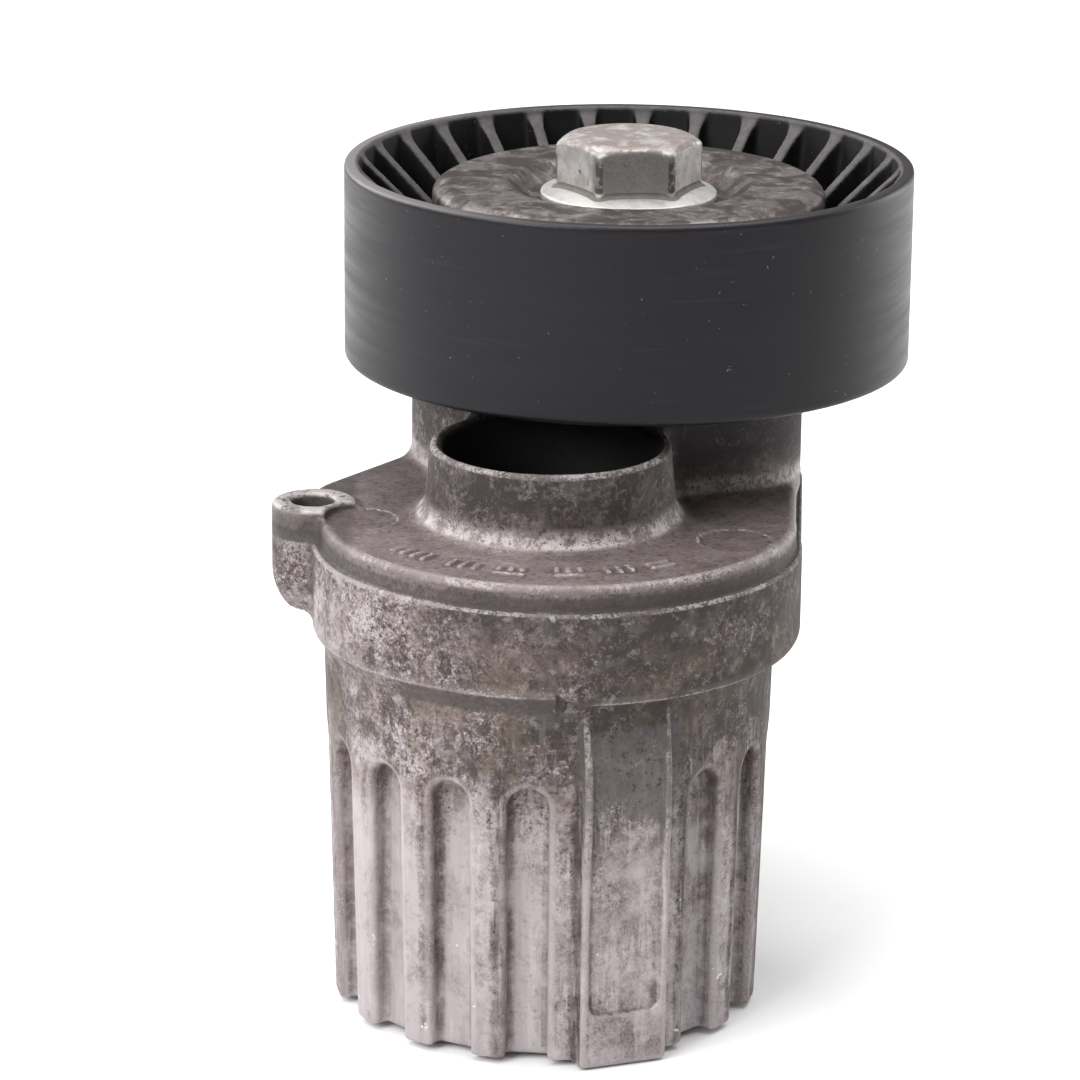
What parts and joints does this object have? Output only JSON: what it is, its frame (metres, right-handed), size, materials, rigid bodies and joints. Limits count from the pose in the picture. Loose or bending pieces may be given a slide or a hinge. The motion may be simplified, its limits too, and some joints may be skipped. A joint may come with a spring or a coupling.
{
  "type": "belt tensioner idler",
  "caption": "Spring-loaded belt tensioner: cast swing arm with ribbed spring barrel, flat 70 mm idler pulley on a ball bearing, fixed base plate and spindle.",
  "frame": {"origin": "swing axis of the arm at the mounting face of the base", "axes": "+Z along the swing axis, away from the mounting face; the pulley axis is parallel to it, offset towards +Y and a little +X"},
  "size_m": [0.0776, 0.092, 0.1004],
  "materials": {
    "cast": "weathered die casting",
    "plastic": "moulded, satin",
    "zinc": "zinc plated",
    "cap_steel": "oxidised",
    "bearing_steel": "ground",
    "spring_steel": "oiled",
    "bush": "filled polymer",
    "seal": "matte",
    "brass": "pressed"
  },
  "bodies": {
    "base": {"base_plate": "cast", "spindle": "bearing_steel", "thrust_washer": "spring_steel", "retaining_ring": "spring_steel", "torsion_spring": "spring_steel"},
    "arm": {"arm_casting": "cast", "lower_bushing": "bush", "upper_bushing": "bush", "friction_ring": "bush", "bearing_inner_ring": "bearing_steel", "lower_dust_shield": "cap_steel", "dust_cap": "cap_steel", "pulley_bolt": "zinc"},
    "pulley_body": {"pulley": "plastic", "bearing_outer_ring": "bearing_steel", "bearing_seal_lower": "seal", "bearing_seal_upper": "seal"},
    "ball_set": {"bearing_ball_1": "bearing_steel", "bearing_ball_2": "bearing_steel", "bearing_ball_3": "bearing_steel", "bearing_ball_4": "bearing_steel", "bearing_ball_5": "bearing_steel", "bearing_ball_6": "bearing_steel", "bearing_ball_7": "bearing_steel", "bearing_ball_8": "bearing_steel", "bearing_cage": "brass"}
  },
  "joints": [
    {"name": "arm_swing", "type": "hinge", "parent": "base", "child": "arm", "pos_m": [0, 0, 0.03], "axis": [0, 0, 1], "range_deg": [0, 40], "stiffness_Nm_per_rad": 8, "springref_deg": -28.65},
    {"name": "pulley_spin", "type": "hinge", "parent": "arm", "child": "pulley_body", "pos_m": [0.0093, 0.028, 0.0854], "axis": [0, 0, 1], "continuous": true},
    {"name": "cage_spin", "type": "hinge", "parent": "arm", "child": "ball_set", "pos_m": [0.0093, 0.028, 0.0854], "axis": [0, 0, 1], "continuous": true}
  ],
  "couplings": [
    {"joint": "cage_spin", "follows": "pulley_spin", "ratio": 0.38}
  ]
}
